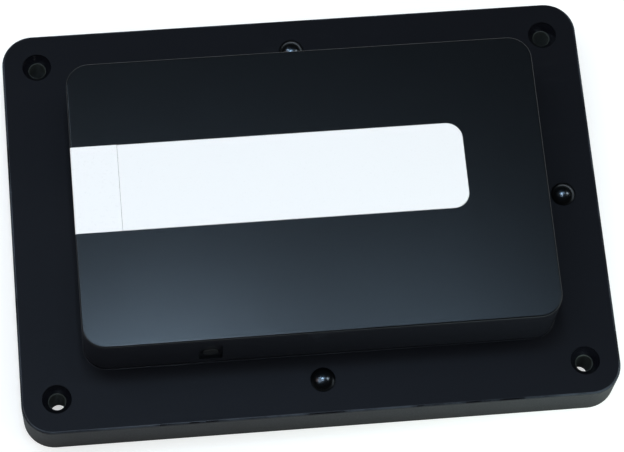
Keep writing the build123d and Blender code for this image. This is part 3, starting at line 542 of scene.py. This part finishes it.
def backPlateBlack():
    look = backPlateLook
    material, tree, shader = newMaterial("backPlateBlack")
    place = addNode(tree, "ShaderNodeTexCoord")
    tone, gloss, bump = plasticLayers(tree, place, look)
    for spot in look["pinSpots"]:
        onPin = discAt(tree, place, "Object", spot, look["pinRadius"], look["pinSoft"])
        gloss = mixValues(tree, gloss, look["pinGloss"], onPin)
        bump = addBump(tree, onPin, "Result", look["pinBump"], look["pinHeight"], bump)
    finishSurface(tree, shader, tone, gloss, bump)
    return material


dress(["back_plate"], backPlateBlack())


# Domed heads of the three assembly screws

domeLook = {"dark": (0.09, 0.10, 0.11), "light": (0.13, 0.145, 0.16), "patch": 0.002, "grain": 0.0004,
            "stretch": (1.0, 1.0, 1.0), "roughness": (0.20, 0.26), "bump": 0.02}
dress(["assembly_screws"], sheetMetal("blackNickel", domeLook))


# White band: a milky window at the left end, a glossy trim plate on the rest

windowLook = {"dark": (0.955, 0.940, 0.920), "light": (0.970, 0.955, 0.935), "patch": 0.01, "grain": 0.0006,
              "roughness": (0.26, 0.32), "bump": 0.012}
trimLook = {"dark": (0.950, 0.935, 0.915), "light": (0.965, 0.950, 0.930), "patch": 0.03, "grain": 0.0005,
            "roughness": (0.26, 0.34), "bump": 0.02}
dress(["light_lens"], mouldedPlastic("windowMilk", windowLook))
dress(["trim_plate"], mouldedPlastic("trimWhite", trimLook))
print("back plate, screws and band dressed")


# Flash lamps and the small status lamp: white packages with tinned feet and a yellow phosphor cap

packageLook = {"dark": (0.80, 0.80, 0.77), "light": (0.87, 0.87, 0.84), "patch": 0.001, "grain": 0.0002,
               "roughness": (0.35, 0.45), "bump": 0.08, "metalDark": (0.55, 0.55, 0.54),
               "metalLight": (0.70, 0.70, 0.69), "capDark": (0.78, 0.62, 0.10),
               "capLight": (0.86, 0.72, 0.18), "capRoughness": 0.18, "capBlend": 0.00002,
               "speckle": 0.00012}


def lampPackage(name, nodeName, footHeight, capHeight):
    look = packageLook
    material, tree, shader = newMaterial(name)
    place, split = objectSpace(tree)
    low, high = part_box(nodeName)
    tone, gloss, bump = plasticLayers(tree, place, look)
    speckle = noiseAt(tree, place, look["speckle"], 4.0)
    cap = mixColours(tree, look["capDark"], look["capLight"], speckle, "Fac")
    metal = mixColours(tree, look["metalDark"], look["metalLight"], speckle, "Fac")
    capBottom = high[2] - capHeight
    footTop = low[2] + footHeight
    onCap = spread(tree, split, "Z", capBottom - look["capBlend"], capBottom)
    onFoot = spread(tree, split, "Z", footTop, footTop - pinBlend)
    tone = mixColours(tree, mixColours(tree, tone, cap, onCap), metal, onFoot)
    gloss = mixValues(tree, gloss, look["capRoughness"], onCap)
    finishSurface(tree, shader, tone, gloss, bump, onFoot)
    return material


dress(["flash_lamps"], lampPackage("flashLampPackage", "flash_lamps", footHeight=0.00025, capHeight=0.0005))
dress(["status_lamp"], lampPackage("statusLampPackage", "status_lamp", footHeight=0.00015, capHeight=0.00025))

reflectorLook = {"dark": (0.82, 0.82, 0.80), "light": (0.88, 0.88, 0.86), "patch": 0.004, "grain": 0.0003,
                 "roughness": (0.22, 0.34), "bump": 0.06}
dress(["lamp_reflector"], mouldedPlastic("reflectorWhite", reflectorLook))


# Link button, its switch and the status light pipe

buttonLook = {"dark": (0.010, 0.011, 0.012), "light": (0.014, 0.015, 0.017), "patch": 0.001, "grain": 0.0002,
              "roughness": (0.20, 0.28), "bump": 0.05}
pipeLook = {"dark": (0.022, 0.024, 0.026), "light": (0.030, 0.033, 0.036), "patch": 0.002, "grain": 0.0003,
            "roughness": (0.08, 0.14), "bump": 0.02,
            "constants": {"Transmission Weight": 0.5, "IOR": 1.49}}
switchLook = {"dark": (0.012, 0.012, 0.013), "light": (0.018, 0.018, 0.019), "patch": 0.002, "grain": 0.00025,
              "roughness": (0.38, 0.50), "bump": 0.12}
plungerLook = {"dark": (0.045, 0.030, 0.020), "light": (0.065, 0.045, 0.030), "patch": 0.001, "grain": 0.0002,
               "roughness": (0.28, 0.38), "bump": 0.06}
tinnedLook = {"dark": (0.50, 0.50, 0.49), "light": (0.64, 0.64, 0.62), "patch": 0.0025, "grain": 0.00006,
              "stretch": (0.15, 1.0, 1.0), "roughness": (0.26, 0.40), "bump": 0.10}
dress(["link_button"], mouldedPlastic("buttonBlack", buttonLook))
dress(["status_light_pipe"], mouldedPlastic("smokedPipe", pipeLook))
dress(["switch_body"], mouldedPlastic("switchBlack", switchLook))
dress(["switch_plunger"], mouldedPlastic("plungerBrown", plungerLook))
dress(["switch_frame"], sheetMetal("tinnedFrame", tinnedLook))


# Power jack

jackLook = {"dark": (0.010, 0.010, 0.011), "light": (0.016, 0.016, 0.017), "patch": 0.003, "grain": 0.0003,
            "roughness": (0.30, 0.42), "bump": 0.10}
nickelLook = {"dark": (0.60, 0.57, 0.50), "light": (0.72, 0.69, 0.62), "patch": 0.003, "grain": 0.00008,
              "stretch": (1.0, 0.12, 1.0), "roughness": (0.16, 0.28), "bump": 0.06}
dress(["power_jack_body"], mouldedPlastic("jackBlack", jackLook))
dress(["power_jack_pin", "power_jack_spring"], sheetMetal("jackNickel", nickelLook))


# Wire terminal

terminalLook = {"dark": (0.014, 0.16, 0.055), "light": (0.020, 0.20, 0.072), "patch": 0.003, "grain": 0.0003,
                "roughness": (0.32, 0.44), "bump": 0.08}
releaseLook = {"dark": (0.62, 0.16, 0.02), "light": (0.72, 0.21, 0.03), "patch": 0.002, "grain": 0.00025,
               "roughness": (0.30, 0.40), "bump": 0.08}
springSteelLook = {"dark": (0.46, 0.46, 0.47), "light": (0.60, 0.60, 0.61), "patch": 0.002, "grain": 0.00005,
                   "stretch": (1.0, 0.1, 0.1), "roughness": (0.20, 0.32), "bump": 0.08}
tinBarLook = {"dark": (0.58, 0.56, 0.50), "light": (0.70, 0.68, 0.62), "patch": 0.002, "grain": 0.00008,
              "stretch": (0.2, 1.0, 1.0), "roughness": (0.30, 0.42), "bump": 0.08}
dress(["terminal_block"], mouldedPlastic("terminalGreen", terminalLook))
dress(["release_button_left", "release_button_right"], mouldedPlastic("releaseOrange", releaseLook))
dress(["clamp_leaf_left", "clamp_leaf_right"], sheetMetal("springSteel", springSteelLook))
dress(["contact_bars"], sheetMetal("tinnedBar", tinBarLook))
print("lamps, button, jack and terminal dressed")


# Relay and siren, whose pins are bare metal below the board's top

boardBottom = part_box("main_board")[0][2]
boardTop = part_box("main_board")[1][2]

relayLook = {"dark": (0.012, 0.055, 0.24), "light": (0.018, 0.080, 0.31), "patch": 0.005, "grain": 0.0004,
             "roughness": (0.20, 0.30), "bump": 0.05, "metalDark": (0.55, 0.54, 0.50),
             "metalLight": (0.70, 0.69, 0.65)}
sirenCaseLook = {"dark": (0.012, 0.012, 0.013), "light": (0.018, 0.018, 0.019), "patch": 0.004,
                 "grain": 0.0003, "roughness": (0.34, 0.46), "bump": 0.12}
sirenBaseLook = dict(sirenCaseLook, roughness=(0.36, 0.48), metalDark=relayLook["metalDark"],
                     metalLight=relayLook["metalLight"])


def pinnedPlastic(name, look):
    material, tree, shader = newMaterial(name)
    place, split = objectSpace(tree)
    metalWhere(tree, shader, place, look, spread(tree, split, "Z", boardTop, boardTop - pinBlend))
    return material


dress(["relay_case", "relay_base"], pinnedPlastic("relayBlue", relayLook))
dress(["siren_case"], mouldedPlastic("sirenBlack", sirenCaseLook))
dress(["siren_base"], pinnedPlastic("sirenBaseBlack", sirenBaseLook))


# Siren disc: brass with a pale ceramic layer in the middle

discLook = {"brassDark": (0.62, 0.46, 0.18), "brassLight": (0.74, 0.57, 0.26), "brassRoughness": (0.22, 0.34),
            "ceramicDark": (0.62, 0.60, 0.54), "ceramicLight": (0.74, 0.72, 0.66), "ceramicRoughness": 0.62,
            "ceramicShare": 0.72, "ceramicSoft": 0.0001, "grain": 0.0001, "stretch": (0.2, 1.0, 1.0),
            "bump": 0.08, "bumpHeight": 0.00002}


def sirenBrass():
    look = discLook
    material, tree, shader = newMaterial("sirenBrass")
    place = addNode(tree, "ShaderNodeTexCoord")
    low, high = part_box("siren_disc")
    middle = tuple((low[index] + high[index]) / 2 for index in range(3))
    radius = (high[0] - low[0]) / 2 * look["ceramicShare"]
    ceramic = discAt(tree, place, "Object", middle, radius, look["ceramicSoft"])
    lines = noiseAt(tree, place, look["grain"], 3.0, 0.6, look["stretch"])
    brass = mixColours(tree, look["brassDark"], look["brassLight"], lines, "Fac")
    chalk = mixColours(tree, look["ceramicDark"], look["ceramicLight"], lines, "Fac")
    gloss = mixValues(tree, glossOver(tree, lines, look["brassRoughness"]), look["ceramicRoughness"], ceramic)
    bump = addBump(tree, lines, "Fac", look["bump"], look["bumpHeight"])
    finishSurface(tree, shader, mixColours(tree, brass, chalk, ceramic), gloss, bump,
                  combine(tree, "SUBTRACT", 1.0, ceramic))
    return material


dress(["siren_disc"], sirenBrass())
print("relay and siren dressed")


# Circuit boards: solder mask over fields of copper runs, ringed holes, and bare laminate on the cut edges

mainBoardLook = {"mask": (0.004, 0.060, 0.024), "maskLight": (0.006, 0.082, 0.032),
                 "run": (0.012, 0.125, 0.050), "runPitch": 0.0011, "runShare": 0.38, "runBump": 0.5,
                 "runHeight": 0.00003, "fieldSize": 0.011, "alongYShare": 0.5, "emptyFields": 0.25,
                 "ring": (0.62, 0.60, 0.52), "viaPitch": 0.0042, "viaScatter": 0.8, "viaRadius": 0.11,
                 "viaHole": 0.0495, "roughness": (0.24, 0.36), "cloudSize": 0.004,
                 "laminate": (0.30, 0.27, 0.12), "laminateDark": (0.24, 0.216, 0.096),
                 "laminateRoughness": 0.7, "weaveSize": 0.0005, "weaveBump": 0.06, "weaveHeight": 0.0001,
                 "faceTilt": 0.5}  # a surface turned further from the level than this is a cut edge
radioBoardLook = dict(mainBoardLook, mask=(0.003, 0.016, 0.055), maskLight=(0.005, 0.022, 0.075),
                      run=(0.010, 0.040, 0.115), runPitch=0.0007, fieldSize=0.006, viaPitch=0.003)


def copperRuns(tree, place, split, look):  # parallel runs, along Y in some square fields and X in others
    fields = addNode(tree, "ShaderNodeTexVoronoi", {"Scale": 1.0 / look["fieldSize"]}, distance="CHEBYCHEV")
    link(tree, place, "Object", fields, "Vector")
    kind = addNode(tree, "ShaderNodeSeparateColor")
    link(tree, fields, "Color", kind, "Color")
    fromX, fromY = (combine(tree, "MULTIPLY", split, 1.0, axis) for axis in ("X", "Y"))
    across = mixValues(tree, fromX, fromY, combine(tree, "GREATER_THAN", kind, look["alongYShare"]))
    step = combine(tree, "FRACT", combine(tree, "DIVIDE", across, look["runPitch"]), 0.0)
    used = combine(tree, "GREATER_THAN", kind, look["emptyFields"], "Green")
    return combine(tree, "MULTIPLY", combine(tree, "LESS_THAN", step, look["runShare"]), used)


def boardMask(name, look):
    material, tree, shader = newMaterial(name)
    place, split = objectSpace(tree)
    run = copperRuns(tree, place, split, look)
    vias = addNode(tree, "ShaderNodeTexVoronoi", {"Scale": 1.0 / look["viaPitch"],
                                                  "Randomness": look["viaScatter"]})
    link(tree, place, "Object", vias, "Vector")
    via = combine(tree, "LESS_THAN", vias, look["viaRadius"], "Distance")
    hole = combine(tree, "LESS_THAN", vias, look["viaHole"], "Distance")
    level = combine(tree, "ABSOLUTE", surfaceTilt(tree), 0.0, "Z")
    onFace = combine(tree, "GREATER_THAN", level, look["faceTilt"])
    cloudy = noiseAt(tree, place, look["cloudSize"], 3.0)
    weave = noiseAt(tree, place, look["weaveSize"], 3.0)
    tone = mixColours(tree, look["mask"], look["maskLight"], cloudy, "Fac")
    for layer, mask in (("run", run), ("ring", via), ("mask", hole)):
        tone = mixColours(tree, tone, look[layer], mask)
    cutEdge = mixColours(tree, look["laminate"], look["laminateDark"], weave, "Fac")
    tone = mixColours(tree, cutEdge, tone, onFace)
    gloss = mixValues(tree, look["laminateRoughness"], glossOver(tree, cloudy, look["roughness"]), onFace)
    weaveBump = addBump(tree, weave, "Fac", look["weaveBump"], look["weaveHeight"])
    bump = addBump(tree, run, 0, look["runBump"], look["runHeight"], weaveBump)
    bareRing = combine(tree, "MULTIPLY", combine(tree, "SUBTRACT", via, hole), onFace)
    finishSurface(tree, shader, tone, gloss, bump, bareRing)
    return material


dress(["main_board"], boardMask("mainBoardGreen", mainBoardLook))
dress(["radio_board"], boardMask("radioBoardBlue", radioBoardLook))
print("boards dressed")


# Radio: headers with gilt pins, a tinned shield and a jacketed wire for the antenna

headerLook = {"dark": (0.012, 0.012, 0.012), "light": (0.018, 0.018, 0.018), "patch": 0.002, "grain": 0.0003,
              "roughness": (0.38, 0.50), "bump": 0.10, "metalDark": (0.70, 0.52, 0.20),
              "metalLight": (0.82, 0.64, 0.30)}
shieldLook = {"dark": (0.52, 0.52, 0.51), "light": (0.66, 0.66, 0.64), "patch": 0.004, "grain": 0.00008,
              "stretch": (1.0, 0.1, 1.0), "roughness": (0.24, 0.36), "bump": 0.10}
jacketLook = {"dark": (0.10, 0.10, 0.11), "light": (0.15, 0.15, 0.16), "patch": 0.003, "grain": 0.0003,
              "roughness": (0.34, 0.44), "bump": 0.08}


def headerPins():
    material, tree, shader = newMaterial("headerBlack")
    place, split = objectSpace(tree)
    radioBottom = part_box("radio_board")[0][2]
    below = spread(tree, split, "Z", boardTop, boardTop - pinBlend)
    above = spread(tree, split, "Z", radioBottom, radioBottom + pinBlend)
    metalWhere(tree, shader, place, headerLook, combine(tree, "MAXIMUM", below, above))
    return material


dress(["radio_headers"], headerPins())
dress(["radio_shield"], sheetMetal("shieldTin", shieldLook))
dress(["antenna_wire"], mouldedPlastic("wireJacket", jacketLook))


# Chips: epoxy bodies with a dimple at the first pin, and tinned legs that reach out from the sides

epoxyLook = {"dark": (0.013, 0.013, 0.014), "light": (0.020, 0.020, 0.021), "patch": 0.002, "grain": 0.00015,
             "roughness": (0.48, 0.64), "bump": 0.20, "metalDark": (0.52, 0.52, 0.51),
             "metalLight": (0.66, 0.66, 0.64), "dimpleRadius": 0.0005, "dimpleSoft": 0.00008,
             "dimpleInset": 0.0012, "dimpleBump": 0.8, "dimpleDepth": 0.0001}
chipLegs = {  # the material's name, and how far the legs reach out in X and in Y, below 0 where none do
    "processor_chip": ("processorEpoxy", 0.0009, 0.0009),
    "driver_chips": ("driverEpoxy", -1.0, 0.0009),
    "voltage_regulator": ("regulatorEpoxy", 0.0, 0.0017),
}


def epoxyChip(name, nodeName, reachX, reachY):
    look = epoxyLook
    material, tree, shader = newMaterial(name)
    place, split = objectSpace(tree)
    low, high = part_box(nodeName)
    legs = outsideBox(tree, split, (low[0] + reachX, low[1] + reachY), (high[0] - reachX, high[1] - reachY))
    inset = look["dimpleInset"]
    spot = (low[0] + max(reachX, 0.0) + inset, low[1] + reachY + inset, high[2])
    sunk = discAt(tree, place, "Object", spot, look["dimpleRadius"], look["dimpleSoft"])
    grainBump = metalWhere(tree, shader, place, look, legs)
    dimple = addBump(tree, combine(tree, "SUBTRACT", 1.0, sunk), 0, look["dimpleBump"], look["dimpleDepth"],
                     grainBump)
    link(tree, dimple, "Normal", shader, "Normal")
    return material


for chip, (epoxyName, reachX, reachY) in chipLegs.items():
    dress([chip], epoxyChip(epoxyName, chip, reachX, reachY))

crystalLook = {"dark": (0.56, 0.56, 0.55), "light": (0.70, 0.70, 0.68), "patch": 0.003, "grain": 0.00008,
               "stretch": (0.1, 1.0, 1.0), "roughness": (0.20, 0.32), "bump": 0.08}
ferriteLook = {"dark": (0.020, 0.020, 0.021), "light": (0.034, 0.034, 0.035), "patch": 0.0008,
               "grain": 0.00012, "roughness": (0.55, 0.72), "bump": 0.35}
dress(["crystal"], sheetMetal("crystalCan", crystalLook))
dress(["power_inductor"], mouldedPlastic("ferriteGrey", ferriteLook))


# Small soldered parts: dark and tan bodies by turns along X, with tinned ends in Y

smallLook = {"dark": (0.018, 0.018, 0.019), "tan": (0.26, 0.17, 0.09), "metalDark": (0.55, 0.55, 0.54),
             "metalLight": (0.70, 0.70, 0.68), "pitch": 0.0032, "length": 0.0020, "endLength": 0.00038,
             "grain": 0.0002, "roughness": (0.40, 0.55), "endRoughness": 0.3, "bump": 0.15,
             "bumpHeight": 0.00005}


def countFrom(tree, split, axis, start, pitch):  # how many pitches a point lies past the start
    return combine(tree, "DIVIDE", combine(tree, "SUBTRACT", split, start, axis), pitch)


def smallParts():
    look = smallLook
    material, tree, shader = newMaterial("smallParts")
    place, split = objectSpace(tree)
    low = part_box("chip_parts")[0]
    row = countFrom(tree, split, "Y", low[1] + look["length"] / 2 - look["pitch"] / 2, look["pitch"])
    fromMiddle = combine(tree, "SUBTRACT", combine(tree, "FRACT", row, 0.0), 0.5)
    endShare = (look["length"] / 2 - look["endLength"]) / look["pitch"]
    ends = combine(tree, "GREATER_THAN", combine(tree, "ABSOLUTE", fromMiddle, 0.0), endShare)
    column = combine(tree, "FLOOR", countFrom(tree, split, "X", low[0], look["pitch"]), 0.0)
    halves = combine(tree, "FRACT", combine(tree, "MULTIPLY", column, 0.5), 0.0)
    odd = combine(tree, "GREATER_THAN", halves, 0.25)  # halves is 0 in even columns and 0.5 in odd ones
    grain = noiseAt(tree, place, look["grain"], 4.0)
    metal = mixColours(tree, look["metalDark"], look["metalLight"], grain, "Fac")
    tone = mixColours(tree, mixColours(tree, look["dark"], look["tan"], odd), metal, ends)
    gloss = mixValues(tree, glossOver(tree, grain, look["roughness"]), look["endRoughness"], ends)
    bump = addBump(tree, grain, "Fac", look["bump"], look["bumpHeight"])
    finishSurface(tree, shader, tone, gloss, bump, ends)
    return material


dress(["chip_parts"], smallParts())


# Capacitors: printed sleeve with a pale stripe on its left side, bare metal top and leads

canLook = {"dark": (0.010, 0.013, 0.030), "light": (0.016, 0.020, 0.044), "patch": 0.003, "grain": 0.0004,
           "roughness": (0.22, 0.32), "bump": 0.05, "stripe": (0.42, 0.43, 0.46),
           "stripeTilt": (-0.86, -0.89), "metalDark": (0.60, 0.60, 0.60), "metalLight": (0.74, 0.74, 0.73),
           "metalRoughness": 0.3, "metalGrain": 0.0004, "topTilt": (0.90, 0.93),
           "topDepths": (0.0002, 0.0001), "leadHeights": (0.00002, -0.00001)}


def sleevedCan():
    look = canLook
    material, tree, shader = newMaterial("sleevedCan")
    place, split = objectSpace(tree)
    tilt = surfaceTilt(tree)
    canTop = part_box("capacitors")[1][2]
    top = combine(tree, "MULTIPLY", spread(tree, tilt, "Z", *look["topTilt"]),
                  spread(tree, split, "Z", *(canTop - depth for depth in look["topDepths"])))
    leads = spread(tree, split, "Z", *(boardTop + height for height in look["leadHeights"]))
    bare = combine(tree, "MAXIMUM", top, leads)
    tone, gloss, bump = plasticLayers(tree, place, look)
    tone = mixColours(tree, tone, look["stripe"], spread(tree, tilt, "X", *look["stripeTilt"]))
    shine = noiseAt(tree, place, look["metalGrain"], 3.0)
    metal = mixColours(tree, look["metalDark"], look["metalLight"], shine, "Fac")
    gloss = mixValues(tree, gloss, look["metalRoughness"], bare)
    finishSurface(tree, shader, mixColours(tree, tone, metal, bare), gloss, bump, bare)
    return material


dress(["capacitors"], sleevedCan())


# Board screws: zinc plate, with the thread as bands on the shank

boardScrewLook = {"dark": (0.50, 0.51, 0.53), "light": (0.64, 0.65, 0.67), "stain": 0.001,
                  "roughness": (0.26, 0.40), "bump": 0.05, "bumpHeight": 0.0001, "threadPitch": 0.0008,
                  "threadBump": 0.9, "threadHeight": 0.0003, "headBlend": 0.0001}


def boardScrewZinc():
    look = boardScrewLook
    material, tree, shader = newMaterial("boardScrewZinc")
    place, split = objectSpace(tree)
    stain = noiseAt(tree, place, look["stain"], 3.0)
    tone = mixColours(tree, look["dark"], look["light"], stain, "Fac")
    turn = combine(tree, "PINGPONG", split, look["threadPitch"] / 2, "Z")
    ridge = spread(tree, turn, 0, 0.0, look["threadPitch"] / 2)
    onShank = spread(tree, split, "Z", boardBottom, boardBottom + look["headBlend"])
    stainBump = addBump(tree, stain, "Fac", look["bump"], look["bumpHeight"])
    bump = addBump(tree, combine(tree, "MULTIPLY", ridge, onShank), 0, look["threadBump"],
                   look["threadHeight"], stainBump)
    finishSurface(tree, shader, tone, glossOver(tree, stain, look["roughness"]), bump)
    shader.inputs["Metallic"].default_value = 1.0
    return material


dress(["board_screws"], boardScrewZinc())
print("parts on the boards dressed")


# Solder joints under the main board, one round each pin that comes through it

solderLook = {"dark": (0.52, 0.52, 0.52), "light": (0.68, 0.68, 0.67), "patch": 0.0008, "grain": 0.0002,
              "stretch": (1.0, 1.0, 1.0), "roughness": (0.14, 0.28), "bump": 0.05, "radius": 0.00085,
              "rise": 0.0008, "sides": 16,
              "profile": [(1.0, 0.0), (0.72, 0.22), (0.52, 0.55), (0.42, 1.0)],  # shares of radius and rise
              "endDepth": 0.00005,  # vertices this near to the lowest one are on a pin's end
              "pinReach": 0.0013}  # and this near to each other, they are on the same pin
pinnedNodes = ["relay_base", "siren_base", "contact_bars", "radio_headers", "capacitors", "switch_frame",
               "power_jack_pin", "power_jack_spring"]


def pinSpots(nodeName):  # the middle of each pin's end
    vertices = nodes[nodeName].data.vertices
    endLevel = min(vertex.co.z for vertex in vertices) + solderLook["endDepth"]
    groups = []
    for vertex in vertices:
        if vertex.co.z > endLevel:
            continue
        for group in groups:
            if (group[0] - vertex.co.xy).length < solderLook["pinReach"]:
                group.append(vertex.co.xy)
                break
        else:
            groups.append([vertex.co.xy])
    return [((min(p.x for p in group) + max(p.x for p in group)) / 2,
             (min(p.y for p in group) + max(p.y for p in group)) / 2) for group in groups]


def addJoint(shape, x, y):
    look = solderLook
    sides = look["sides"]
    angles = [2 * math.pi * step / sides for step in range(sides)]
    rings = []
    for share, fall in look["profile"]:
        radius = look["radius"] * share
        level = boardBottom - look["rise"] * fall
        rings.append([shape.verts.new((x + radius * math.cos(angle), y + radius * math.sin(angle), level))
                      for angle in angles])
    for upper, lower in zip(rings, rings[1:]):
        for step in range(sides):
            following = (step + 1) % sides
            shape.faces.new((upper[step], lower[step], lower[following], upper[following]))
    shape.faces.new(list(reversed(rings[-1])))
    shape.faces.new(rings[0])


def addSolder():
    shape = bmesh.new()
    for nodeName in pinnedNodes:
        for x, y in pinSpots(nodeName):
            addJoint(shape, x, y)
    bmesh.ops.recalc_face_normals(shape, faces=shape.faces)
    for face in shape.faces:
        face.smooth = len(face.verts) == 4
    mesh = bpy.data.meshes.new("solderJoints")
    shape.to_mesh(mesh)
    shape.free()
    mesh.materials.append(sheetMetal("solderTin", solderLook))
    joints = bpy.data.objects.new("solderJoints", mesh)
    scene.collection.objects.link(joints)
    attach(joints, "controller")


addSolder()
print("solder joints added")
